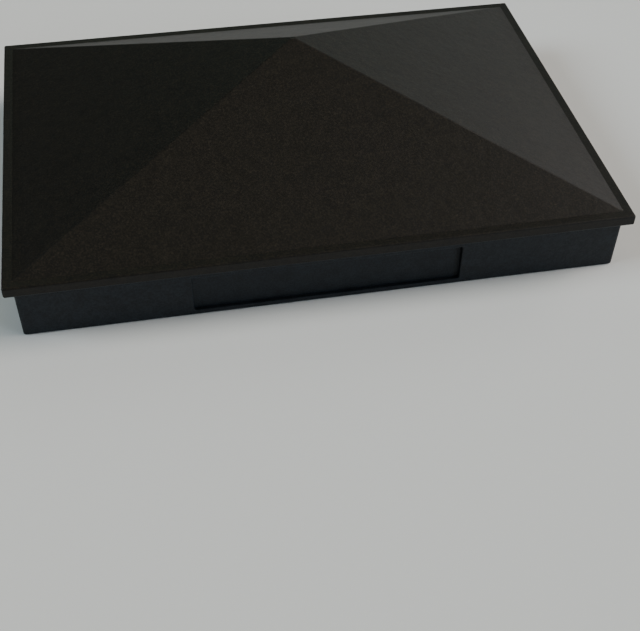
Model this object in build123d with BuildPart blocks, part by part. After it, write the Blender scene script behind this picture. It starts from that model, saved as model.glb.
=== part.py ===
from build123d import *
from math import atan, degrees
import os

# A rectangular pyramid cap for a wooden fence post, with the screws and rubbers that fix it.
# Millimetres. The origin is the centre of the skirt's open bottom: +Z is up, +X runs along the
# long side, and -Y is the front, where the sunk panel is.

# ---------------------------------------------------------------- driving dimensions

# The post, and how far the lip stands out past it on every side
post_length = 139.7
post_depth = 88.9
lip_past_post = 14.15
post_clearance = 1.25
post_engagement = 17.0

# Roof, border and lip
roof_rise = 28.8
border_width = 2.7
lip_height = 3.1
lip_corner_radius = 0.6
lip_edge_radius = 0.55
hip_radius = 0.45
tip_fraction = 0.010
roof_thickness = 3.3

# Skirt
skirt_height = 15.8
skirt_inset = 2.25
skirt_draft = 0.25
skirt_corner_radius = 1.0
skirt_wall = 3.2
skirt_edge_radius = 0.4

# Sunk panel on the front of the skirt
panel_length = 73.2
panel_height = 11.5
panel_foot = 1.5
panel_depth = 1.3
panel_corner_radius = 0.6
panel_rim_radius = 0.25

# Ribs that centre the cap on the post
rib_thickness = 3.0
rib_foot = 1.5
lead_in_depth = 1.5
lead_in_height = 3.0
long_rib_spacing = 50.0
long_rib_count = 3

# Screws, their bosses and counterbores, two on each short side
screw_height = 8.0
screw_spacing = 48.0
screw_hole_radius = 2.4
counterbore_radius = 6.0
counterbore_depth = 2.4
counterbore_rim_radius = 0.3
boss_radius = 6.5
thread_radius = 2.1
core_radius = 1.5
thread_pitch = 2.75
screw_length = 32.0
screw_tip_length = 5.0
screw_neck_length = 4.0
thread_turns = 10
crest_width = 0.3
neck_radius = 2.1
head_radius = 4.1
head_height = 2.4
head_dome_radius = 1.5
drive_core_radius = 1.35
drive_lobe_radius = 0.45
drive_lobe_count = 6
drive_depth = 1.6

# Sealing washers: a metal cup over a rubber ring
cup_radius = 5.5
cup_thickness = 0.8
cup_lip_height = 0.7
cup_lip_width = 0.6
cup_edge_radius = 0.4
cup_hole_radius = 2.18
seal_radius = 4.8
seal_thickness = 1.2
seal_hole_radius = 2.18

# Seat pads, and the cast bosses that carry them
pad_radius = 8.0
pad_thickness = 2.0
pad_edge_radius = 0.4
pad_offset_x = 50.0
pad_offset_y = 28.0

# ---------------------------------------------------------------- worked-out dimensions

rim_length = post_length + 2 * lip_past_post
rim_depth = post_depth + 2 * lip_past_post
border_level = skirt_height + lip_height
tip_level = border_level + roof_rise * (1 - tip_fraction)
roof_length = rim_length - 2 * border_width
roof_depth = rim_depth - 2 * border_width
skirt_length = rim_length - 2 * skirt_inset
skirt_depth = rim_depth - 2 * skirt_inset
draft_angle = degrees(atan(skirt_draft / skirt_height))
lead_in_angle = degrees(atan(lead_in_depth / lead_in_height))
hollow_length = skirt_length - 2 * skirt_wall + 2 * skirt_draft
hollow_depth = skirt_depth - 2 * skirt_wall + 2 * skirt_draft
pocket_length = post_length + 2 * post_clearance
pocket_depth = post_depth + 2 * post_clearance
panel_level = panel_foot + panel_height / 2
panel_floor = skirt_depth / 2 - panel_depth
front_at_foot = skirt_depth / 2 - skirt_draft
counterbore_floor = skirt_length / 2 - skirt_draft / 2 - counterbore_depth
head_seat = counterbore_floor + seal_thickness + cup_thickness
pad_top = post_engagement + pad_thickness

corners = {
    "left_front": (-1, -1),
    "left_back": (-1, 1),
    "right_front": (1, -1),
    "right_back": (1, 1),
}


def in_panel(edge):
    """Is the edge within the panel's outline, seen from the front?"""
    middle = edge.center()
    return abs(middle.X) <= panel_length / 2 and abs(middle.Z - panel_level) <= panel_height / 2


def screw_axis(side, row):
    """The line that a screw turns on, pointing out of its short side."""
    return Axis((0, row * screw_spacing / 2, screw_height), (side, 0, 0))


def square_plane(side, row, distance):
    """A plane square to a screw, facing outwards, its Y upwards, at a distance from the middle."""
    origin = (side * distance, row * screw_spacing / 2, screw_height)
    return Plane(origin=origin, x_dir=(0, side, 0), z_dir=(side, 0, 0))


def profile_plane(side, row, distance):
    """A plane along a screw's axis: its X runs outwards from a distance, and its Y is a radius."""
    origin = (side * distance, row * screw_spacing / 2, screw_height)
    return Plane(origin=origin, x_dir=(side, 0, 0), z_dir=(0, -1, 0))


def thread_outline():
    """Half of the shank's outline, from the tip to the head: (distance from the head, radius)."""
    points = [(-screw_length, 0)]
    for turn in range(thread_turns):
        root = -screw_length + turn * thread_pitch
        crest = root + thread_pitch / 2
        fullness = min(1, (turn + 0.5) * thread_pitch / screw_tip_length)
        if turn > 0:
            points.append((root, core_radius * min(1, turn * thread_pitch / screw_tip_length)))
        points.append((crest - crest_width / 2, thread_radius * fullness))
        points.append((crest + crest_width / 2, thread_radius * fullness))
    points.append((-screw_length + thread_turns * thread_pitch, core_radius))
    points.append((-screw_neck_length, neck_radius))
    points.append((0, neck_radius))
    points.append((0, 0))
    return points


def finish(builder, name):
    """Labels a finished piece and writes its STEP file."""
    builder.part.label = name
    export_step(builder.part, f"parts/{name}.step")


os.makedirs("parts", exist_ok=True)

# ---------------------------------------------------------------- the cap's outside, as a solid block

with BuildPart() as envelope:
    # The lip, softened along its top and bottom edges
    with BuildSketch(Plane.XY.offset(skirt_height)):
        RectangleRounded(rim_length, rim_depth, lip_corner_radius)
    extrude(amount=lip_height)
    fillet(envelope.edges().group_by(Axis.Z)[0], lip_edge_radius)
    fillet(envelope.edges().group_by(Axis.Z)[-1], lip_edge_radius)
    # The skirt draws in a little from the lip down
    with BuildSketch(Plane.XY.offset(skirt_height)):
        RectangleRounded(skirt_length, skirt_depth, skirt_corner_radius)
    extrude(amount=-skirt_height, taper=draft_angle)
    fillet(envelope.edges().group_by(Axis.Z)[0], skirt_edge_radius)
    # The roof rises from inside the border to a blunt tip, with softened hips
    with BuildSketch(Plane.XY.offset(border_level)):
        RectangleRounded(roof_length, roof_depth, hip_radius)
    with BuildSketch(Plane.XY.offset(tip_level)):
        RectangleRounded(roof_length * tip_fraction, roof_depth * tip_fraction, hip_radius)
    loft(ruled=True)

# ---------------------------------------------------------------- the hollow that the post goes into

with BuildPart() as hollow:
    # Under the roof: the roof's own pyramid, let down by the roof's thickness
    with BuildSketch(Plane.XY.offset(border_level - roof_thickness)):
        Rectangle(roof_length, roof_depth)
    with BuildSketch(Plane.XY.offset(tip_level - roof_thickness)):
        Rectangle(roof_length * tip_fraction, roof_depth * tip_fraction)
    loft(ruled=True)
    # Below it: a plain block, down to the open bottom
    with BuildSketch(Plane.XY):
        Rectangle(roof_length, roof_depth)
    extrude(amount=border_level - roof_thickness)
    # Cut to the inside of the skirt, which opens a little towards the bottom
    with BuildSketch(Plane.XY):
        RectangleRounded(hollow_length, hollow_depth, skirt_corner_radius)
    extrude(amount=tip_level, taper=draft_angle, mode=Mode.INTERSECT)

# ---------------------------------------------------------------- ribs and bosses, cast in one with the cap

with BuildPart() as braces:
    # Ribs on the long sides stand between the skirt and the post
    long_rib_reach = (skirt_depth - pocket_depth) / 2 - skirt_wall / 2
    long_rib_middle = pocket_depth / 2 + long_rib_reach / 2
    with BuildSketch(Plane.XY.offset(rib_foot)):
        for side in (-1, 1):
            with Locations((0, side * long_rib_middle)):
                with GridLocations(long_rib_spacing, 1, long_rib_count, 1):
                    Rectangle(rib_thickness, long_rib_reach)
    extrude(amount=tip_level)
    # Screw bosses on the short sides: a round foot under straight sides that run up to the roof
    boss_reach = (skirt_length - pocket_length) / 2 - skirt_wall / 2
    for side, row in corners.values():
        with BuildSketch(square_plane(side, row, pocket_length / 2)):
            Circle(boss_radius)
            with Locations((0, tip_level / 2)):
                Rectangle(2 * boss_radius, tip_level)
        extrude(amount=boss_reach)
    # A sloped lead-in at their feet guides the post between them
    with BuildSketch(Plane.XY.offset(rib_foot)):
        Rectangle(pocket_length + 2 * lead_in_depth, pocket_depth + 2 * lead_in_depth)
    extrude(amount=lead_in_height, taper=lead_in_angle, mode=Mode.SUBTRACT)
    # Seat bosses under the roof carry the rubber pads
    with BuildSketch(Plane.XY.offset(pad_top)):
        with GridLocations(2 * pad_offset_x, 2 * pad_offset_y, 2, 2):
            Circle(pad_radius)
    extrude(amount=tip_level)
    add(envelope.part, mode=Mode.INTERSECT)

# ---------------------------------------------------------------- the cap body

with BuildPart() as cap_body:
    add(envelope.part)
    add(hollow.part, mode=Mode.SUBTRACT)
    add(braces.part)
    # The sunk panel on the front
    with BuildSketch(Plane.XZ.offset(panel_floor)):
        with Locations((0, panel_level)):
            RectangleRounded(panel_length, panel_height, panel_corner_radius)
    extrude(amount=2 * panel_depth, mode=Mode.SUBTRACT)
    front_edges = cap_body.edges().filter_by(lambda e: e.center().Y < -front_at_foot)
    panel_rim = front_edges.filter_by(in_panel)
    fillet(panel_rim, panel_rim_radius)
    # A counterbored hole for each screw
    for side, row in corners.values():
        with BuildSketch(square_plane(side, row, counterbore_floor)):
            Circle(counterbore_radius)
        extrude(amount=2 * counterbore_depth, mode=Mode.SUBTRACT)
        outer_rim = cap_body.edges(Select.LAST).sort_by(screw_axis(side, row))[-1]
        fillet(outer_rim, counterbore_rim_radius)
        with BuildSketch(square_plane(side, row, counterbore_floor)):
            Circle(screw_hole_radius)
        extrude(amount=-(skirt_length - pocket_length), mode=Mode.SUBTRACT)

finish(cap_body, "cap_body")

# ---------------------------------------------------------------- screws, washers, seals and pads

for corner, (side, row) in corners.items():
    with BuildPart() as screw:
        # The head: a low dome with a six-lobed drive
        with BuildSketch(square_plane(side, row, head_seat)):
            Circle(head_radius)
        extrude(amount=head_height)
        fillet(screw.edges().sort_by(screw_axis(side, row))[-1], head_dome_radius)
        with BuildSketch(square_plane(side, row, head_seat + head_height)):
            Circle(drive_core_radius)
            with PolarLocations(drive_core_radius, drive_lobe_count):
                Circle(drive_lobe_radius)
        extrude(amount=-drive_depth, mode=Mode.SUBTRACT)
        # The shank: a plain neck, and a pointed core with a ridge for each turn of the thread
        with BuildSketch(profile_plane(side, row, head_seat)):
            with BuildLine():
                Polyline(*thread_outline(), close=True)
            make_face()
        revolve(axis=screw_axis(side, row))
    finish(screw, f"screw_{corner}")

    with BuildPart() as washer:
        # A flat ring whose edge turns down round the seal
        with BuildSketch(square_plane(side, row, head_seat)):
            Circle(cup_radius)
            Circle(cup_hole_radius, mode=Mode.SUBTRACT)
        extrude(amount=-cup_thickness)
        fillet(washer.edges().group_by(screw_axis(side, row))[-1].sort_by(SortBy.LENGTH)[-1], cup_edge_radius)
        with BuildSketch(square_plane(side, row, head_seat - cup_thickness)):
            Circle(cup_radius)
            Circle(cup_radius - cup_lip_width, mode=Mode.SUBTRACT)
        extrude(amount=-cup_lip_height)
    finish(washer, f"washer_{corner}")

    with BuildPart() as seal:
        # A rubber ring under the washer, bearing on the counterbore's floor
        with BuildSketch(square_plane(side, row, counterbore_floor)):
            Circle(seal_radius)
            Circle(seal_hole_radius, mode=Mode.SUBTRACT)
        extrude(amount=seal_thickness)
    finish(seal, f"seal_{corner}")

    with BuildPart() as pad:
        # A rubber disc under its seat boss
        with BuildSketch(Plane.XY.offset(post_engagement)):
            with Locations((side * pad_offset_x, row * pad_offset_y)):
                Circle(pad_radius)
        extrude(amount=pad_thickness)
        fillet(pad.edges().group_by(Axis.Z)[0], pad_edge_radius)
    finish(pad, f"seat_pad_{corner}")
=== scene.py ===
import logging
import math
from dataclasses import dataclass, field
from enum import Enum

import bpy
import numpy as np
from mathutils import Matrix, Vector


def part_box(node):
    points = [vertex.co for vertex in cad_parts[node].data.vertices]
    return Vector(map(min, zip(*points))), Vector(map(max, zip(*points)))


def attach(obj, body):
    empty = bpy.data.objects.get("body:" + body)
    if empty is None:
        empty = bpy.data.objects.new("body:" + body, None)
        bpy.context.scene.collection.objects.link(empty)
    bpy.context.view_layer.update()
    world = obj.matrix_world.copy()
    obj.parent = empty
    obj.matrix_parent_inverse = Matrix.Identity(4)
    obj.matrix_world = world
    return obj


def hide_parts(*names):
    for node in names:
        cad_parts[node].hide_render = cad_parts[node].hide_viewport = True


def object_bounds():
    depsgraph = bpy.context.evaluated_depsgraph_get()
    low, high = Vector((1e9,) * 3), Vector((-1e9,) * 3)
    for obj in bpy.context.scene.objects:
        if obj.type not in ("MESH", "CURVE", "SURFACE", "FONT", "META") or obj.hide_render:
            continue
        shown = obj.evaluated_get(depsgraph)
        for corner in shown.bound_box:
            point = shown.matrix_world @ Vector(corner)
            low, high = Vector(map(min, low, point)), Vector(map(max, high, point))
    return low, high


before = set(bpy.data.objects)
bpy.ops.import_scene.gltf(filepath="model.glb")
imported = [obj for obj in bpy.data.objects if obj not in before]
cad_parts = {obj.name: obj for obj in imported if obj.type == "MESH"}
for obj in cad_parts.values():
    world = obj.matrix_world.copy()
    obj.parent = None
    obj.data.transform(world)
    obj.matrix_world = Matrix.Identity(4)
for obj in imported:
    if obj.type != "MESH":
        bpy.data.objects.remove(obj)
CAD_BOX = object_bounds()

log = logging.getLogger("post_cap")

MM = 0.001
"""One millimetre in scene units. Pieces and finishes are sized in millimetres, the studio in metres."""


# ------------------------------------------------------------------------------------------------
# Choices
# ------------------------------------------------------------------------------------------------


class Corner(Enum):
    """A fixing corner of the cap: its name and its side (-1 left, 1 right)."""

    LEFT_FRONT = ("left_front", -1)
    LEFT_BACK = ("left_back", -1)
    RIGHT_FRONT = ("right_front", 1)
    RIGHT_BACK = ("right_back", 1)

    @property
    def label(self) -> str:
        """The corner's name, as the frame's nodes end with it."""
        return self.value[0]

    @property
    def side(self) -> int:
        """-1 on the left, 1 on the right."""
        return self.value[1]


class Outline(Enum):
    """How a turned piece's outline ends: at two points on its axis, or joined to its own start."""

    POLES = "poles"
    RING = "ring"


# ------------------------------------------------------------------------------------------------
# Surfaces
# ------------------------------------------------------------------------------------------------


@dataclass(frozen=True)
class TurningAxis:
    """An axis that pieces are turned about, with two directions square to it.

    Attributes:
        origin: A point on the axis, in metres, where heights are counted from.
        along: Unit vector along the axis, in the direction of growing height.
        across: Unit vector square to the axis, where the turning angle is zero.
    """

    origin: tuple[float, float, float]
    along: tuple[float, float, float]
    across: tuple[float, float, float]

    def place(self, radius: np.ndarray, height: np.ndarray, angle: np.ndarray) -> np.ndarray:
        """Turns radius, height and angle into points.

        A point is the origin, plus its height along the axis, plus its radius times the cosine of its
        angle in the first square direction and the sine in the second.

        Args:
            radius: Distances from the axis, in millimetres, in the shape of the grid.
            height: Heights along the axis, in millimetres, in the shape of the grid.
            angle: Turning angles in radians, in the shape of the grid.

        Returns:
            An array of points in metres, with one more dimension than the grid.
        """
        along, across = np.array(self.along), np.array(self.across)
        beside = np.cross(along, across)
        radial = np.cos(angle)[..., None] * across + np.sin(angle)[..., None] * beside
        return np.array(self.origin) + MM * (height[..., None] * along + radius[..., None] * radial)


def soften_corners(corners: np.ndarray, radii: np.ndarray, steps: int) -> np.ndarray:
    """Rounds the corners of an outline.

    Each corner is replaced by a circular arc that touches both of its sides: the arc's centre lies on
    the corner's bisector, at the radius divided by the sine of half the corner's angle.

    Args:
        corners: Corner points of a closed outline, one row each, as radius and height.
        radii: The rounding radius at each corner.
        steps: Points along each arc.

    Returns:
        The rounded outline's points, in the same order.
    """
    to_last = np.roll(corners, 1, axis=0) - corners
    to_next = np.roll(corners, -1, axis=0) - corners
    to_last /= np.linalg.norm(to_last, axis=1, keepdims=True)
    to_next /= np.linalg.norm(to_next, axis=1, keepdims=True)
    half = 0.5 * np.arccos(np.clip((to_last * to_next).sum(1), -1, 1))
    bisector = to_last + to_next
    bisector /= np.linalg.norm(bisector, axis=1, keepdims=True)
    centre = corners + bisector * (radii / np.sin(half))[:, None]
    first = corners + to_last * (radii / np.tan(half))[:, None] - centre
    last = corners + to_next * (radii / np.tan(half))[:, None] - centre
    share = np.linspace(0, 1, steps)[None, :, None]
    sweep = (math.pi - 2 * half)[:, None, None]
    leaving = np.sin((1 - share) * sweep) * first[:, None]
    arriving = np.sin(share * sweep) * last[:, None]
    return (centre[:, None] + (leaving + arriving) / np.sin(sweep)).reshape(-1, 2)


def spread(outline: np.ndarray, longest: float) -> np.ndarray:
    """Adds points to an outline so that no step is longer than a given length.

    Args:
        outline: Points of an open outline, one row each.
        longest: The longest step that may stay.

    Returns:
        The outline with evenly spaced points added on its long steps.
    """
    lengths = np.linalg.norm(np.diff(outline, axis=0), axis=1)
    counts = np.maximum(1, np.ceil(lengths / longest)).astype(int)
    start = np.repeat(np.arange(len(counts)), counts)
    within = np.arange(counts.sum()) - np.repeat(np.cumsum(counts) - counts, counts)
    share = (within / np.repeat(counts, counts))[:, None]
    points = outline[start] * (1 - share) + outline[start + 1] * share
    return np.vstack([points, outline[-1]])


def grid_faces(rows: int, columns: int, outline: Outline) -> np.ndarray:
    """The four-sided faces of a grid that goes round an axis.

    Args:
        rows: Points along the outline.
        columns: Points round the axis.
        outline: RING if the last row joins the first one.

    Returns:
        One row of four point numbers for each face, facing outwards where the outline runs outwards
        over the top and then down.
    """
    last_row = rows if outline is Outline.RING else rows - 1
    i, j = np.meshgrid(np.arange(last_row), np.arange(columns), indexing="ij")
    below, beside = (i + 1) % rows, (j + 1) % columns
    quads = [i * columns + j, below * columns + j, below * columns + beside, i * columns + beside]
    return np.stack(quads, axis=-1).reshape(-1, 4)


def build_mesh(name: str, points: np.ndarray, quads: np.ndarray, fans: np.ndarray) -> bpy.types.Object:
    """Makes a smooth-shaded object from points and faces.

    Args:
        name: The piece's name.
        points: Points in metres, one row each.
        quads: Four point numbers for each four-sided face.
        fans: Three point numbers for each three-sided face; it may be empty.

    Returns:
        The object, linked to the scene, at the origin.
    """
    mesh = bpy.data.meshes.new(name)
    loops = np.concatenate([quads.ravel(), fans.ravel()])
    starts = np.concatenate([np.arange(len(quads)) * 4, len(quads) * 4 + np.arange(len(fans)) * 3])
    mesh.vertices.add(len(points))
    mesh.vertices.foreach_set("co", points.astype(np.float32).ravel())
    mesh.loops.add(len(loops))
    mesh.loops.foreach_set("vertex_index", loops.astype(np.int32))
    mesh.polygons.add(len(starts))
    mesh.polygons.foreach_set("loop_start", starts.astype(np.int32))
    mesh.polygons.foreach_set("use_smooth", np.ones(len(starts), bool))
    mesh.update(calc_edges=True)
    mesh.validate()
    piece = bpy.data.objects.new(name, mesh)
    bpy.context.scene.collection.objects.link(piece)
    return piece


def turned_piece(
    name: str, axis: TurningAxis, radius: np.ndarray, height: np.ndarray, outline: Outline
) -> bpy.types.Object:
    """Makes a piece from a grid of radii and heights round an axis.

    The surface is a function of two parameters: the row, along the outline, and the column, which is
    the turning angle. With poles, the first and last rows are drawn together into one point each.

    Args:
        name: The piece's name.
        axis: The axis that it is turned about.
        radius: Radii in millimetres, a row for each outline point and a column for each angle.
        height: Heights in millimetres, in the same shape.
        outline: POLES for a piece that ends on its axis, RING for a closed ring.

    Returns:
        The object, closed and facing outwards.
    """
    rows, columns = radius.shape
    angle = np.broadcast_to(2 * math.pi * np.arange(columns) / columns, radius.shape)
    points = axis.place(radius, height, angle).reshape(-1, 3)
    quads = grid_faces(rows, columns, outline)
    if outline is Outline.RING:
        return build_mesh(name, points, quads, np.zeros((0, 3), int))
    ends = axis.place(np.zeros(2), np.array([height[0].mean(), height[-1].mean()]), np.zeros(2))
    column = np.arange(columns)
    beside = (column + 1) % columns
    first, last = np.full(columns, rows * columns), np.full(columns, rows * columns + 1)
    bottom = (rows - 1) * columns
    first_fan = np.stack([first, column, beside], axis=1)
    last_fan = np.stack([last, bottom + beside, bottom + column], axis=1)
    return build_mesh(name, np.vstack([points, ends]), quads, np.vstack([first_fan, last_fan]))


def paint_attribute(piece: bpy.types.Object, name: str, values: np.ndarray) -> None:
    """Stores one number for each point of a piece, for its finish to read.

    Args:
        piece: The piece.
        name: The attribute's name.
        values: One value for each point, in the mesh's order.
    """
    attribute = piece.data.attributes.new(name, "FLOAT", "POINT")
    attribute.data.foreach_set("value", values.astype(np.float32).ravel())


def enclosed_volume(piece: bpy.types.Object) -> float:
    """The volume that a closed piece encloses, in cubic millimetres, positive if its faces point out."""
    mesh = piece.data
    mesh.calc_loop_triangles()
    corners = np.zeros(len(mesh.loop_triangles) * 3, np.int32)
    mesh.loop_triangles.foreach_get("vertices", corners)
    points = np.zeros(len(mesh.vertices) * 3, np.float32)
    mesh.vertices.foreach_get("co", points)
    a, b, c = points.reshape(-1, 3).astype(float)[corners.reshape(-1, 3)].transpose(1, 0, 2)
    return float((a * np.cross(b, c)).sum() / 6 / MM**3)


# ------------------------------------------------------------------------------------------------
# Finishes
# ------------------------------------------------------------------------------------------------


Colour = tuple[float, float, float]


class FinishGraph:
    """A material's node tree, with short calls for the nodes that the finishes share."""

    def __init__(self, name: str) -> None:
        """Starts a material with an empty tree, a surface shader and object coordinates.

        Args:
            name: The material's name.
        """
        self.material = bpy.data.materials.new(name)
        self.material.use_nodes = True
        self.tree = self.material.node_tree
        self.tree.nodes.clear()
        self.shader = self.add("ShaderNodeBsdfPrincipled")
        output = self.add("ShaderNodeOutputMaterial")
        self.join(self.shader.outputs["BSDF"], output.inputs["Surface"])
        self.place = self.add("ShaderNodeTexCoord").outputs["Object"]

    def add(self, kind: str, **settings: object) -> bpy.types.Node:
        """Adds a node of a kind, with its settings."""
        node = self.tree.nodes.new(kind)
        for name, value in settings.items():
            setattr(node, name, value)
        return node

    def join(self, source: bpy.types.NodeSocket, target: bpy.types.NodeSocket) -> None:
        """Links one socket to another."""
        self.tree.links.new(source, target)

    def feed(self, target: bpy.types.NodeSocket, value: object) -> None:
        """Sets a socket to a number or colour, or links it if the value is a socket."""
        if isinstance(value, bpy.types.NodeSocket):
            self.join(value, target)
        else:
            target.default_value = value

    def math(self, operation: str, *values: object, clamp: bool = False) -> bpy.types.NodeSocket:
        """A sum on one, two or three numbers or sockets."""
        node = self.add("ShaderNodeMath", operation=operation, use_clamp=clamp)
        for socket, value in zip(node.inputs, values):
            self.feed(socket, value)
        return node.outputs["Value"]

    def noise(self, cell: float, detail: float = 2.0, rough: float = 0.5) -> bpy.types.NodeSocket:
        """Soft noise whose lumps are about a cell across, in millimetres."""
        node = self.add("ShaderNodeTexNoise")
        self.join(self.place, node.inputs["Vector"])
        node.inputs["Scale"].default_value = 1 / (cell * MM)
        node.inputs["Detail"].default_value = detail
        node.inputs["Roughness"].default_value = rough
        return node.outputs["Fac"]

    def flecks(self, cell: float, size: float, share: float) -> bpy.types.NodeSocket:
        """Small round flecks in some of the cells of a scattered grid.

        Args:
            cell: A cell's width, in millimetres.
            size: A fleck's radius, as a share of the cell.
            share: How many of the cells hold a fleck, from 0 to 1.

        Returns:
            A socket that is 1 in the middle of a fleck and 0 outside.
        """
        node = self.add("ShaderNodeTexVoronoi")
        self.join(self.place, node.inputs["Vector"])
        node.inputs["Scale"].default_value = 1 / (cell * MM)
        near = self.smooth(node.outputs["Distance"], size, size * 0.4)
        pick = self.add("ShaderNodeSeparateColor")
        self.join(node.outputs["Color"], pick.inputs["Color"])
        chosen = self.math("LESS_THAN", pick.outputs["Red"], share)
        return self.math("MULTIPLY", near, chosen)

    def smooth(self, value: object, low: float, high: float) -> bpy.types.NodeSocket:
        """0 at low, 1 at high, with soft ends; low may be above high."""
        node = self.add("ShaderNodeMapRange", interpolation_type="SMOOTHSTEP")
        self.feed(node.inputs["Value"], value)
        swapped = low > high
        node.inputs["From Min"].default_value = min(low, high)
        node.inputs["From Max"].default_value = max(low, high)
        node.inputs["To Min"].default_value = 1.0 if swapped else 0.0
        node.inputs["To Max"].default_value = 0.0 if swapped else 1.0
        return node.outputs["Result"]

    def between(self, share: object, low: float, high: float) -> bpy.types.NodeSocket:
        """The number that lies a share of the way from low to high."""
        node = self.add("ShaderNodeMapRange")
        self.feed(node.inputs["Value"], share)
        node.inputs["To Min"].default_value = low
        node.inputs["To Max"].default_value = high
        return node.outputs["Result"]

    def blend(self, share: object, first: object, second: object) -> bpy.types.NodeSocket:
        """A colour that goes from the first to the second as the share goes from 0 to 1."""
        node = self.add("ShaderNodeMix", data_type="RGBA")
        self.feed(node.inputs["Factor"], share)
        colours = [socket for socket in node.inputs if socket.type == "RGBA"]
        for socket, value in zip(colours, (first, second)):
            self.feed(socket, (*value, 1.0) if isinstance(value, tuple) else value)
        return next(socket for socket in node.outputs if socket.type == "RGBA")

    def emboss(self, height: object, depth: float, over: object = None) -> bpy.types.NodeSocket:
        """Bends the surface's normals as if it stood up by a height.

        Args:
            height: A socket from 0 to 1.
            depth: How far it stands up at 1, in millimetres.
            over: The normals that it starts from, if another relief lies under it.

        Returns:
            The bent normals.
        """
        node = self.add("ShaderNodeBump")
        node.inputs["Strength"].default_value = 1.0
        node.inputs["Distance"].default_value = depth * MM
        self.feed(node.inputs["Height"], height)
        if over is not None:
            self.join(over, node.inputs["Normal"])
        return node.outputs["Normal"]

    def axis(self, source: bpy.types.NodeSocket, letter: str) -> bpy.types.NodeSocket:
        """One of a vector's three numbers."""
        node = self.add("ShaderNodeSeparateXYZ")
        self.join(source, node.inputs["Vector"])
        return node.outputs[letter]

    def facing(self) -> bpy.types.NodeSocket:
        """How far the surface faces up: 1 on a level top, 0 on an upright side, -1 underneath."""
        return self.axis(self.add("ShaderNodeNewGeometry").outputs["Normal"], "Z")

    def finish(
        self,
        colour: object,
        roughness: object,
        normal: object = None,
        metallic: object = 0.0,
        specular: float = 0.5,
    ) -> bpy.types.Material:
        """Joins the results to the shader.

        Args:
            colour: The base colour, or the socket that gives it.
            roughness: The roughness, or its socket.
            normal: The bent normals, if there are any.
            metallic: How much of the surface is bare metal, or its socket.
            specular: The strength of the plain reflection.

        Returns:
            The finished material.
        """
        self.feed(self.shader.inputs["Base Color"], (*colour, 1.0) if isinstance(colour, tuple) else colour)
        self.feed(self.shader.inputs["Roughness"], roughness)
        self.feed(self.shader.inputs["Metallic"], metallic)
        self.shader.inputs["Specular IOR Level"].default_value = specular
        if normal is not None:
            self.join(normal, self.shader.inputs["Normal"])
        return self.material


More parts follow.
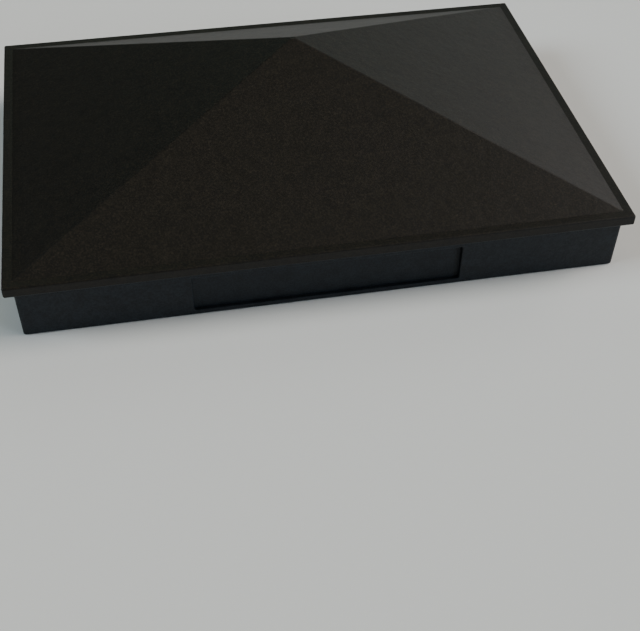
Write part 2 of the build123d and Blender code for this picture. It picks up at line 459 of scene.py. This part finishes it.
@dataclass(frozen=True)
class PowderCoat:
    """A satin black powder coat with a fine sandy grain, baked on cast aluminium.

    Attributes:
        pit_colour: The colour between the grains, under the film of dust on what faces up.
        grain_colour: The colour on the grains, under that film.
        painted_cool_pit_colour: The colour between the grains on the skirt and on what faces down: painted
            cool light, a cooler copy of the coat.
        painted_cool_grain_colour: The colour on the grains there, also painted cool light.
        dust_colour: The colour of the dust that settles on what faces up.
        dust_share: How much dust the ripples gather at most.
        fleck_cell: The width of the cells that the flecks are scattered over, in millimetres; the flecks are
            dust and painted glints of light from above.
        fleck_size: A fleck's radius, as a share of its cell.
        fleck_share: How many of the cells hold a fleck.
        fleck_and_glint_strength: How much of a fleck's colour is the dust's colour.
        painted_cool_height: The height under which the sides get that painted cool light, in millimetres.
        painted_cool_fade: How far above and below that height the colours run into each other.
        grain: The width of a grain, in millimetres.
        mottle: The width of the patches where the grains lie closer, in millimetres.
        mottle_share: How much those patches change the colour, beside the grains themselves.
        grain_relief: How far a grain stands up, in millimetres.
        peel: The width of the coat's orange-peel ripples, in millimetres.
        peel_relief: How far a ripple stands up, in millimetres.
        cast_wave: The width of the casting's own unevenness, in millimetres.
        cast_relief: How far that unevenness stands up, in millimetres.
        glossiest: The lowest roughness.
        dullest: The highest roughness.
        specular: The strength of the plain reflection.
    """

    pit_colour: Colour = (0.0036, 0.0030, 0.0024)
    grain_colour: Colour = (0.0113, 0.0091, 0.0061)
    painted_cool_pit_colour: Colour = (0.0034, 0.0049, 0.0071)
    painted_cool_grain_colour: Colour = (0.0106, 0.0152, 0.0200)
    dust_colour: Colour = (0.085, 0.064, 0.042)
    dust_share: float = 0.19
    fleck_cell: float = 1.1
    fleck_size: float = 0.30
    fleck_share: float = 0.14
    fleck_and_glint_strength: float = 0.14
    painted_cool_height: float = 15.8
    painted_cool_fade: float = 0.3
    grain: float = 0.50
    mottle: float = 2.8
    mottle_share: float = 0.45
    grain_relief: float = 0.024
    peel: float = 1.9
    peel_relief: float = 0.052
    cast_wave: float = 13.0
    cast_relief: float = 0.13
    glossiest: float = 0.45
    dullest: float = 0.59
    specular: float = 0.25

    def material(self) -> bpy.types.Material:
        """Builds the finish: grain and ripples in the relief; grain, painted cool light below the lip, dust,
        and flecks that are dust and painted glints, in the colour.
        """
        graph = FinishGraph("black_powder_coat")
        grain = graph.noise(self.grain, 3.0, 0.62)
        ripple = graph.noise(self.peel, 2.0, 0.55)
        cloud = graph.noise(self.cast_wave, 3.0, 0.6)
        colour = self.dusted(graph, self.coated(graph, grain), grain, ripple)
        gloss = graph.math("ADD", graph.math("MULTIPLY", cloud, 0.4), graph.math("MULTIPLY", ripple, 0.6))
        roughness = graph.between(gloss, self.glossiest, self.dullest)
        cast = graph.emboss(cloud, self.cast_relief)
        rippled = graph.emboss(ripple, self.peel_relief, cast)
        grained = graph.emboss(grain, self.grain_relief, rippled)
        return graph.finish(colour, roughness, grained, specular=self.specular)

    def coated(self, graph: FinishGraph, grain: bpy.types.NodeSocket) -> bpy.types.NodeSocket:
        """The coat's colour: grains that lie closer in patches, and a cooler copy below the lip's height and
        on what faces down, which is painted cool light.

        Args:
            graph: The finish's node tree.
            grain: The grain's noise.

        Returns:
            The colour without dust.
        """
        patches = graph.noise(self.mottle, 3.0, 0.6)
        shift = graph.math("MULTIPLY_ADD", patches, self.mottle_share, -0.5 * self.mottle_share)
        speckle = graph.smooth(graph.math("ADD", grain, shift), 0.31, 0.71)
        own_coat = graph.blend(speckle, self.pit_colour, self.grain_colour)
        # Painted cool light: below the lip's height and on what faces down, the coat gets a cooler, bluer
        # copy of its colour.
        painted_cool = graph.blend(speckle, self.painted_cool_pit_colour, self.painted_cool_grain_colour)
        height = graph.axis(graph.place, "Z")
        low, high = self.painted_cool_height - self.painted_cool_fade, self.painted_cool_height + self.painted_cool_fade
        above = graph.smooth(height, low * MM, high * MM)
        outside = graph.smooth(graph.facing(), -0.5, -0.1)
        return graph.blend(graph.math("MULTIPLY", above, outside), painted_cool, own_coat)

    def dusted(
        self,
        graph: FinishGraph,
        coat: bpy.types.NodeSocket,
        grain: bpy.types.NodeSocket,
        ripple: bpy.types.NodeSocket,
    ) -> bpy.types.NodeSocket:
        """Adds the dust on the grains and ripples, and lighter flecks, where the surface faces up: the
        flecks are dust and painted glints of light from above.

        Args:
            graph: The finish's node tree.
            coat: The colour without dust.
            grain: The grain's noise.
            ripple: The ripples' noise.

        Returns:
            The colour with dust.
        """
        upward = graph.smooth(graph.facing(), 0.35, 0.98)
        settled = graph.math("MULTIPLY", upward, graph.smooth(grain, 0.45, 0.70))
        dust = graph.math("MULTIPLY", settled, graph.between(ripple, 0.0, self.dust_share))
        # The flecks stand for dust and for painted glints of light from above on the sandy grain; they
        # lighten only what faces up.
        scattered = graph.flecks(self.fleck_cell, self.fleck_size, self.fleck_share)
        flecks = graph.math("MULTIPLY", scattered, graph.math("MULTIPLY", upward, self.fleck_and_glint_strength))
        return graph.blend(flecks, graph.blend(dust, coat, self.dust_colour), self.dust_colour)


@dataclass(frozen=True)
class CoatedSteel:
    """Steel under a thin black coating that rubs through where a piece is worked.

    Attributes:
        name: The material's name.
        coat_colour: The coating's colour.
        steel_colour: The bare steel's colour.
        wear_attribute: The attribute that says how much a point is rubbed, from 0 to 1.
        wear: How much coating the rubbed points lose, from 0 to 1.
        roughness: The coating's middle roughness.
        fine: The width of the coating's finest unevenness, in millimetres.
        mottle: The width of its paler patches, in millimetres.
        paler: How much lighter those patches are.
    """

    name: str
    coat_colour: Colour = (0.012, 0.012, 0.0125)
    steel_colour: Colour = (0.40, 0.39, 0.37)
    wear_attribute: str = "rubbed"
    wear: float = 0.6
    roughness: float = 0.38
    fine: float = 0.16
    mottle: float = 1.4
    paler: float = 2.2

    def material(self) -> bpy.types.Material:
        """Builds the finish: a mottled coating, with steel where the rubbed points and a fine noise meet."""
        graph = FinishGraph(self.name)
        fine = graph.noise(self.fine, 4.0, 0.65)
        mottle = graph.noise(self.mottle, 3.0, 0.6)
        rubbed = graph.add("ShaderNodeAttribute", attribute_name=self.wear_attribute).outputs["Fac"]
        ragged = graph.math("ADD", rubbed, graph.between(mottle, -0.35, 0.15))
        bare = graph.math("MULTIPLY", graph.smooth(ragged, 0.45, 0.95), self.wear)
        paler = tuple(self.paler * c for c in self.coat_colour)
        coat = graph.blend(graph.smooth(mottle, 0.35, 0.7), self.coat_colour, paler)
        colour = graph.blend(bare, coat, self.steel_colour)
        roughness = graph.between(fine, self.roughness - 0.08, self.roughness + 0.12)
        relief = graph.emboss(fine, 0.006, graph.emboss(mottle, 0.012))
        return graph.finish(colour, roughness, relief, metallic=bare, specular=0.5)


@dataclass(frozen=True)
class Rubber:
    """Black EPDM rubber, matt, with a moulded or calendered grain.

    Attributes:
        name: The material's name.
        colour: The rubber's colour.
        bloom_colour: The paler colour of its dusty bloom.
        cell: The grain's width, in millimetres.
        relief: How far the grain stands up, in millimetres.
        fine: The width of the unevenness on the grains, in millimetres.
        patch: The width of a patch of bloom, in millimetres.
    """

    name: str
    colour: Colour = (0.010, 0.010, 0.0102)
    bloom_colour: Colour = (0.045, 0.044, 0.042)
    cell: float = 0.7
    relief: float = 0.03
    fine: float = 0.22
    patch: float = 3.5

    def material(self) -> bpy.types.Material:
        """Builds the finish: a pebbled relief under a patchy bloom."""
        graph = FinishGraph(self.name)
        pebbles = graph.add("ShaderNodeTexVoronoi", feature="SMOOTH_F1")
        graph.join(graph.place, pebbles.inputs["Vector"])
        pebbles.inputs["Scale"].default_value = 1 / (self.cell * MM)
        fine = graph.noise(self.fine, 3.0, 0.6)
        patches = graph.noise(self.patch, 3.0, 0.65)
        bloom = graph.math("MULTIPLY", graph.smooth(patches, 0.38, 0.75), graph.between(fine, 0.25, 0.75))
        colour = graph.blend(bloom, self.colour, self.bloom_colour)
        relief = graph.emboss(fine, 0.008, graph.emboss(pebbles.outputs["Distance"], self.relief))
        return graph.finish(colour, graph.between(bloom, 0.62, 0.85), relief, specular=0.4)


@dataclass(frozen=True)
class StudioPaper:
    """The pale paper that the piece stands on.

    Attributes:
        colour: The paper's middle colour.
        roughness: The paper's roughness.
        fibre: The width of its fibre, in millimetres.
    """

    colour: Colour = (0.80, 0.80, 0.79)
    roughness: float = 0.9
    fibre: float = 2.0

    def material(self) -> bpy.types.Material:
        """Builds the finish: nearly even, with a faint fibre."""
        graph = FinishGraph("studio_paper")
        fibre = graph.noise(self.fibre, 4.0, 0.6)
        darker = tuple(0.985 * c for c in self.colour)
        colour = graph.blend(fibre, darker, self.colour)
        return graph.finish(colour, self.roughness, graph.emboss(fibre, 0.01), specular=0.2)


# ------------------------------------------------------------------------------------------------
# The cap and its fixings
# ------------------------------------------------------------------------------------------------


def screw_axis(corner: Corner, distance: float) -> TurningAxis:
    """The axis of a corner's screw, pointing out of the cap, with its height counted from a distance.

    Args:
        corner: The screw's corner.
        distance: How far from the cap's middle the height is zero, in millimetres.

    Returns:
        The axis, through the middle of that screw's solid in the frame.
    """
    low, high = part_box(f"screw_{corner.label}")
    middle = (low + high) / 2
    origin = (corner.side * distance * MM, middle.y, middle.z)
    return TurningAxis(origin, (float(corner.side), 0.0, 0.0), (0.0, float(corner.side), 0.0))


def settle(piece: bpy.types.Object, material: bpy.types.Material, body: str, node: str) -> None:
    """Dresses a finished piece, joins it to its body and lets it stand for its CAD node.

    Args:
        piece: The finished piece.
        material: Its finish.
        body: The body that it rides on.
        node: The CAD node that it stands for.
    """
    piece.data.materials.append(material)
    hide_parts(node)
    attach(piece, body)
    log.info("%s: %d points, %.1f mm3", piece.name, len(piece.data.vertices), enclosed_volume(piece))


@dataclass
class CapBody:
    """The casting: roof, border, lip, skirt, ribs and bosses in one. Its shape is the frame's own.

    Attributes:
        node: The casting's node in the frame.
        coat: Its finish.
    """

    node: str = "cap_body"
    coat: PowderCoat = field(default_factory=PowderCoat)

    def dress(self) -> None:
        """Gives the casting its powder coat."""
        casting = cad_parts[self.node]
        material = self.coat.material()
        for held in casting.material_slots:
            held.material = material
        log.info("%s: %d points, dressed in %s", self.node, len(casting.data.vertices), material.name)


@dataclass
class Screw:
    """A pan-head wood screw with a six-lobed drive and a helical thread. Millimetres.

    Heights are counted from the head's seat, outwards.

    Attributes:
        corner: The corner that it fixes.
        seat: The head seat's distance from the cap's middle.
        length: Length under the head.
        core: Radius of the shank between the ridges.
        crest: Radius over the ridges, and of the plain neck.
        pitch: The advance for one turn.
        ridge: Half of a ridge's width, as a share of the pitch.
        neck: Length of the plain neck.
        tip: Length of the point.
        head_radius: The head's radius.
        head_height: The head's height.
        shoulder: The rounding of the head's outer edge.
        drive_radius: The middle radius of the drive's outline.
        lobe: How far the drive's lobes stand out and in from that radius.
        drive_depth: The drive's depth.
        drive_rim: The width of the rounded rim round the drive.
        columns: Points round the axis.
        rows_per_turn: Points along one turn of the thread.
    """

    corner: Corner
    seat: float = 81.205
    length: float = 32.0
    core: float = 1.5
    crest: float = 2.1
    pitch: float = 2.75
    ridge: float = 0.24
    neck: float = 4.0
    tip: float = 5.0
    head_radius: float = 4.1
    head_height: float = 2.4
    shoulder: float = 1.5
    drive_radius: float = 1.56
    lobe: float = 0.23
    drive_depth: float = 1.6
    drive_rim: float = 0.20
    columns: int = 72
    rows_per_turn: int = 20

    def drive_rows(self, angle: np.ndarray) -> tuple[np.ndarray, np.ndarray]:
        """The drive's floor, wall and rim.

        The outline's radius is a middle radius plus six cosine lobes. Rows go out along a shallow
        cone, up the wall and over a small rounded rim.

        Args:
            angle: The turning angle of each column.

        Returns:
            Radii and heights, a row for each step outwards.
        """
        lobes = self.drive_radius + self.lobe * np.cos(6 * angle)
        top, floor = self.head_height, self.head_height - self.drive_depth
        outward = np.array([0.10, 0.35, 0.65, 0.90, 0.98, 1.0, 1.0, 1.0])
        rows = outward[:, None] * lobes[None, :]
        drop = np.array([0.35, 0.26, 0.15, 0.05, 0.0])
        wall = np.array([0.10, 0.55, 0.93])
        heights = np.concatenate([floor - drop, floor + self.drive_depth * wall])
        rim = lobes[None, :] + np.array([0.03, 0.09, self.drive_rim])[:, None]
        rim_heights = top - np.array([0.035, 0.008, 0.0])
        radii = np.vstack([rows, rim])
        heights = np.concatenate([heights, rim_heights])
        return radii, np.broadcast_to(heights[:, None], radii.shape)

    def head_rows(self, angle: np.ndarray) -> tuple[np.ndarray, np.ndarray]:
        """The head from beside the drive to the neck.

        The flat top grows from the drive's lobed outline into a circle. Then come a quarter arc with
        the shoulder's radius, the side, a small rounding and the underside.

        Args:
            angle: The turning angle of each column.

        Returns:
            Radii and heights, a row for each step.
        """
        flat = self.head_radius - self.shoulder
        lobes = self.drive_radius + self.drive_rim + self.lobe * np.cos(6 * angle)
        share = np.linspace(0.25, 1, 4)[:, None]
        face = lobes * (1 - share) + flat * share
        turn = np.linspace(0, math.pi / 2, 13)[1:]
        fall = self.shoulder * (1 - np.cos(turn))
        arc = np.stack([flat + self.shoulder * np.sin(turn), self.head_height - fall])
        side = np.array([[0.0, -0.04, -0.15], [0.15, 0.04, 0.0]])
        side[0] += self.head_radius
        under = np.array([[3.3, 2.6, self.crest + 0.001], [0.0, 0.0, 0.0]])
        outline = np.hstack([arc, side, under])
        radii = np.vstack([face, np.broadcast_to(outline[0][:, None], (outline.shape[1], len(angle)))])
        heights = np.concatenate([np.full(len(face), self.head_height), outline[1]])
        return radii, np.broadcast_to(heights[:, None], radii.shape)

    def shank_rows(self, angle: np.ndarray) -> tuple[np.ndarray, np.ndarray, np.ndarray]:
        """The neck, the thread and the point.

        The radius at a height and an angle is the core's radius, plus the ridge's height where the
        height in pitches, less the angle in turns, is near a half. Core and ridge shrink together
        towards the tip, and the ridge runs out under the neck.

        Args:
            angle: The turning angle of each column.

        Returns:
            Radii, heights and how far each point stands up on the ridge, a row for each step.
        """
        rows = int(self.length / self.pitch * self.rows_per_turn)
        height = -np.linspace(0.02, self.length - 0.05, rows)[:, None]
        phase = (height / self.pitch - angle[None, :] / (2 * math.pi)) % 1.0
        profile = np.clip((1 - np.abs(phase - 0.5) / self.ridge) * 1.25, 0, 1)
        neck = np.clip((height + self.neck) / 0.8 + 1, 0, 1)
        runout = np.clip(-(height + self.neck) / self.pitch, 0, 1)
        point = np.clip((height + self.length) / self.tip, 0.01, 1) ** 0.8
        ridge = profile * runout
        core = self.core + (self.crest - self.core) * neck
        radii = (core + (self.crest - self.core) * ridge * (1 - neck)) * point
        return radii, np.broadcast_to(height, radii.shape), ridge * (1 - neck)

    def make(self, material: bpy.types.Material) -> bpy.types.Object:
        """Builds the screw and joins it to its body.

        Args:
            material: The screw's finish.

        Returns:
            The screw.
        """
        angle = 2 * math.pi * np.arange(self.columns) / self.columns
        drive, head, (shank, shank_height, ridge) = (
            self.drive_rows(angle),
            self.head_rows(angle),
            self.shank_rows(angle),
        )
        radius = np.vstack([drive[0], head[0], shank])
        height = np.vstack([drive[1], head[1], shank_height])
        name = f"threaded_screw_{self.corner.label}"
        piece = turned_piece(name, screw_axis(self.corner, self.seat), radius, height, Outline.POLES)
        paint_attribute(piece, "rubbed", self.rubbed(drive[0], head[0], ridge))
        body = f"screw_{self.corner.label}"
        settle(piece, material, body, body)
        return piece

    def rubbed(self, drive: np.ndarray, head: np.ndarray, ridge: np.ndarray) -> np.ndarray:
        """How much each point is rubbed: the drive's rim by the bit, and the ridges by the wood.

        Args:
            drive: The drive's rows.
            head: The head's rows.
            ridge: How far each shank point stands up on the ridge.

        Returns:
            One value for each point, with the two poles last.
        """
        rim = np.zeros(len(drive))
        rim[-4:] = (0.5, 0.9, 0.9, 0.5)
        on_drive = np.broadcast_to(rim[:, None], drive.shape)
        return np.concatenate([on_drive.ravel(), np.zeros(head.size), ridge.ravel(), [0.0, 1.0]])


@dataclass
class SealingWasher:
    """A stamped cup washer over a rubber ring, under a screw's head. Millimetres.

    Heights are counted from the head's seat, outwards.

    Attributes:
        corner: The corner that it seals.
        seat: The head seat's distance from the cap's middle.
        hole: The radius of the hole in washer and seal.
        cup_radius: The cup's outer radius.
        plate: The cup's thickness.
        lip: How far the cup's edge turns down below its plate.
        lip_width: The thickness of that edge.
        edge: The rounding of the cup's outer edge.
        burr: The rounding of its other edges.
        seal_radius: The seal's outer radius.
        seal_thickness: The seal's thickness.
        bulge: How far the squeezed seal swells out at half its height.
        worn_width: The width of the worn ring round the hole.
        columns: Points round the axis.
    """

    corner: Corner
    seat: float = 81.205
    hole: float = 2.18
    cup_radius: float = 5.5
    plate: float = 0.8
    lip: float = 0.7
    lip_width: float = 0.6
    edge: float = 0.4
    burr: float = 0.08
    seal_radius: float = 4.75
    seal_thickness: float = 1.2
    bulge: float = 0.05
    worn_width: float = 0.3
    columns: int = 96

    def make_cup(self, material: bpy.types.Material) -> bpy.types.Object:
        """Turns the cup: a plate whose edge bends down, with all its edges rounded.

        Args:
            material: The cup's finish.

        Returns:
            The cup washer.
        """
        inner, bottom = self.cup_radius - self.lip_width, -self.plate - self.lip
        corners = np.array(
            [
                [self.hole, 0.0],
                [self.cup_radius, 0.0],
                [self.cup_radius, bottom],
                [inner, bottom],
                [inner, -self.plate],
                [self.hole, -self.plate],
            ]
        )
        radii = np.array([self.burr, self.edge, self.burr, self.burr, self.burr, self.burr])
        outline = soften_corners(corners, radii, 6)
        return self.turn("cup_washer", outline, material, "washer_coating", "washer")

    def make_seal(self, material: bpy.types.Material) -> bpy.types.Object:
        """Turns the seal: a ring whose outside swells like a parabola between its two flat faces.

        Args:
            material: The seal's finish.

        Returns:
            The rubber seal.
        """
        top, bottom = -self.plate, -self.plate - self.seal_thickness
        share = np.linspace(-1, 1, 13)
        swollen = self.seal_radius + self.bulge * (1 - share**2)
        side = np.stack([swollen, (top + bottom) / 2 - share * self.seal_thickness / 2], axis=1)
        outline = np.vstack([[[self.hole, top]], side, [[self.hole, bottom]]])
        return self.turn("rubber_seal", outline, material, "seal_rubber", "seal")

    def turn(
        self, name: str, outline: np.ndarray, material: bpy.types.Material, slot: str, node: str
    ) -> bpy.types.Object:
        """Turns an outline about the screw's axis and joins the piece to the washer's body.

        Args:
            name: The first part of the piece's name.
            outline: The closed outline, as radius and height.
            material: The piece's finish.
            slot: Not used.
            node: The first part of the CAD node's name.

        Returns:
            The piece.
        """
        closed = spread(np.vstack([outline, outline[:1]]), 0.25)[:-1]
        radius = np.repeat(closed[:, :1], self.columns, axis=1)
        height = np.repeat(closed[:, 1:], self.columns, axis=1)
        label = self.corner.label
        axis = screw_axis(self.corner, self.seat)
        piece = turned_piece(f"{name}_{label}", axis, radius, height, Outline.RING)
        paint_attribute(piece, "rubbed", np.where(radius < self.hole + self.worn_width, 0.9, 0.0))
        settle(piece, material, f"sealing_washer_{label}", f"{node}_{label}")
        return piece


@dataclass
class SeatPad:
    """A rubber disc under the roof, which the post's end stops against. Millimetres.

    Attributes:
        corner: The corner that it lies at.
        radius: The disc's radius.
        edge: The rounding of its lower edge.
        burr: The rounding of its upper edge.
        dish: How far its face is hollowed in the middle.
        columns: Points round the disc.
    """

    corner: Corner
    radius: float = 8.0
    edge: float = 0.4
    burr: float = 0.1
    dish: float = 0.12
    columns: int = 128

    def make(self, material: bpy.types.Material) -> bpy.types.Object:
        """Turns the disc about its upright middle line.

        The face's hollow is a cosine of the distance from the middle, which is zero at the rim.

        Args:
            material: The pad's finish.

        Returns:
            The disc.
        """
        node = f"seat_pad_{self.corner.label}"
        low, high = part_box(node)
        middle = (low + high) / 2
        axis = TurningAxis((middle.x, middle.y, low.z), (0.0, 0.0, 1.0), (1.0, 0.0, 0.0))
        top = (high.z - low.z) / MM
        corners = np.array([[0.0, top], [self.radius, top], [self.radius, 0.0], [0.0, 0.0]])
        rounded = soften_corners(corners, np.array([0.0, self.burr, self.edge, 0.0]) + 1e-6, 8)
        outline = spread(rounded[rounded[:, 0] > 1e-3], 0.5)
        share = np.clip(outline[:, 0] / (self.radius - self.edge), 0, 1)
        hollow = self.dish * 0.5 * (1 + np.cos(math.pi * share))
        outline[:, 1] += np.where(outline[:, 1] < top / 2, hollow, 0.0)
        radius = np.repeat(outline[:, :1], self.columns, axis=1)
        height = np.repeat(outline[:, 1:], self.columns, axis=1)
        piece = turned_piece(f"rubber_disc_{self.corner.label}", axis, radius, height, Outline.POLES)
        settle(piece, material, "cap", node)
        return piece


# ------------------------------------------------------------------------------------------------
# The studio
# ------------------------------------------------------------------------------------------------


@dataclass(frozen=True)
class FarSoftBox:
    """A wide soft light, so far off that it lights the whole floor evenly.

    Attributes:
        name: The light's name.
        azimuth: Degrees from the back (+Y) towards the right (+X).
        elevation: Degrees above the floor.
        strength: What it gives a surface that faces it, in watts per square metre.
        colour: The light's colour.
        width: How wide it looks from the cap, in degrees.
    """

    name: str
    azimuth: float
    elevation: float
    strength: float
    colour: Colour = (1.0, 1.0, 1.0)
    width: float = 28.0

    def place(self) -> None:
        """Adds the light to the scene."""
        light = bpy.data.lights.new(self.name, "SUN")
        light.energy = self.strength
        light.angle = math.radians(self.width)
        light.color = self.colour
        turn, rise = math.radians(self.azimuth), math.radians(self.elevation)
        way = Vector((math.sin(turn) * math.cos(rise), math.cos(turn) * math.cos(rise), math.sin(rise)))
        lamp = bpy.data.objects.new(self.name, light)
        lamp.rotation_mode = "QUATERNION"
        lamp.rotation_quaternion = way.to_track_quat("Z", "Y")
        bpy.context.scene.collection.objects.link(lamp)

    def on_floor(self) -> np.ndarray:
        """What it gives the floor, in red, green and blue."""
        return self.strength * math.sin(math.radians(self.elevation)) * np.array(self.colour)


@dataclass
class Studio:
    """Floor, lights and camera.

    Attributes:
        floor_size: The floor's width, in metres.
        floor_cells: How many faces the floor has along a side.
        floor_gap: How far the floor lies under the cap's foot, in metres.
        paper: The floor's finish.
        eye: The camera's place from the middle of the skirt's foot, in metres.
        heading: The camera's heading, in degrees from the back (+Y) towards the right (+X).
        dip: How far it looks down, in degrees.
        roll: How far it leans clockwise, in degrees.
        lens: Focal length in millimetres.
        sensor: The width of the camera's sensor, in millimetres.
        glow: The strength of the light from all round.
        lights: The soft boxes.
    """

    floor_size: float = 80.0
    floor_cells: int = 12
    floor_gap: float = 0.0001
    paper: StudioPaper = field(default_factory=StudioPaper)
    eye: tuple[float, float, float] = (-0.047412, -0.276385, 0.212377)
    heading: float = 11.57
    dip: float = 44.19
    roll: float = 1.03
    lens: float = 63.909
    sensor: float = 36.0
    glow: float = 0.012
    lights: tuple[FarSoftBox, ...] = (
        FarSoftBox("key_right", 90, 36, 2.28, (1.0, 0.93, 0.86)),
        FarSoftBox("fill_left", 270, 35, 1.55, (0.78, 0.93, 1.0)),
        FarSoftBox("fill_front_right", 125, 12, 1.28, (0.74, 0.87, 1.0), 24),
        FarSoftBox("rim_back_right", 60, 20, 0.60, (1.0, 0.95, 0.96)),
        FarSoftBox("rim_back", 30, 18, 0.080, (0.72, 1.0, 0.94), 24),
        FarSoftBox("soft_back", 0, 30, 0.130, (0.72, 1.0, 0.84)),
        FarSoftBox("soft_top", 0, 88, 0.210, (1.0, 0.89, 0.58), 36),
    )

    def lay_floor(self) -> None:
        """Lays a wide pale floor just under the height that the cap stands on."""
        across = self.floor_cells + 1
        side = np.linspace(-0.5, 0.5, across) * self.floor_size
        x, y = np.meshgrid(side, side, indexing="ij")
        points = np.stack([x, y, np.full_like(x, CAD_BOX[0].z - self.floor_gap)], axis=-1).reshape(-1, 3)
        i, j = np.meshgrid(np.arange(self.floor_cells), np.arange(self.floor_cells), indexing="ij")
        first = i * across + j
        quads = np.stack([first, first + across, first + across + 1, first + 1], axis=-1).reshape(-1, 4)
        floor = build_mesh("studio_floor", points, quads, np.zeros((0, 3), int))
        floor.data.materials.append(self.paper.material())

    def light(self) -> None:
        """Adds the soft boxes, a faint glow from all round, and a backdrop as bright as the lit floor.

        The floor's brightness is its colour times the light that it gets, over pi. Only the camera sees
        the backdrop, so that it isn't mirrored in the dark coat.
        """
        for soft_box in self.lights:
            soft_box.place()
        lit = np.array(self.paper.colour) * sum(box.on_floor() for box in self.lights) / math.pi
        world = bpy.data.worlds.new("studio")
        world.use_nodes = True
        tree = world.node_tree
        background = tree.nodes["Background"]
        background.inputs["Strength"].default_value = 1.0
        seen = tree.nodes.new("ShaderNodeLightPath").outputs["Is Camera Ray"]
        choice = tree.nodes.new("ShaderNodeMix")
        choice.data_type = "RGBA"
        glow, backdrop = [socket for socket in choice.inputs if socket.type == "RGBA"]
        glow.default_value = (self.glow, self.glow, self.glow, 1.0)
        backdrop.default_value = (*lit, 1.0)
        tree.links.new(seen, choice.inputs["Factor"])
        colour = next(socket for socket in choice.outputs if socket.type == "RGBA")
        tree.links.new(colour, background.inputs["Color"])
        bpy.context.scene.world = world

    def aim_camera(self) -> None:
        """Adds the camera, from its heading, dip and roll."""
        turn, rise, lean = (math.radians(a) for a in (self.heading, self.dip, self.roll))
        look = Vector((math.sin(turn) * math.cos(rise), math.cos(turn) * math.cos(rise), -math.sin(rise)))
        level = look.cross(Vector((0, 0, 1))).normalized()
        right = level * math.cos(lean) + level.cross(look) * math.sin(lean)
        up = right.cross(look)
        camera = bpy.data.objects.new("camera", bpy.data.cameras.new("camera"))
        camera.data.sensor_width = self.sensor
        camera.data.lens = self.lens
        camera.data.clip_start = 0.01
        camera.matrix_world = Matrix.Translation(self.eye) @ Matrix((right, up, -look)).transposed().to_4x4()
        bpy.context.scene.collection.objects.link(camera)
        bpy.context.scene.camera = camera


def main() -> None:
    """Builds the studio and every piece."""
    logging.basicConfig(level=logging.INFO, format="%(name)s %(message)s")
    studio = Studio()
    studio.lay_floor()
    studio.light()
    studio.aim_camera()
    CapBody().dress()
    dark, chalky = (0.016, 0.016, 0.0165), (0.040, 0.039, 0.037)
    screw_steel = CoatedSteel("black_coated_screw_steel").material()
    cup_steel = CoatedSteel("black_coated_cup_steel", coat_colour=dark, roughness=0.42).material()
    seal_rubber = Rubber("moulded_seal_rubber", cell=0.45, relief=0.012).material()
    pad_rubber = Rubber("die_cut_pad_rubber", colour=dark, bloom_colour=chalky).material()
    for corner in Corner:
        Screw(corner).make(screw_steel)
        washer = SealingWasher(corner)
        washer.make_cup(cup_steel)
        washer.make_seal(seal_rubber)
        SeatPad(corner).make(pad_rubber)


if __name__ == "__main__":
    main()
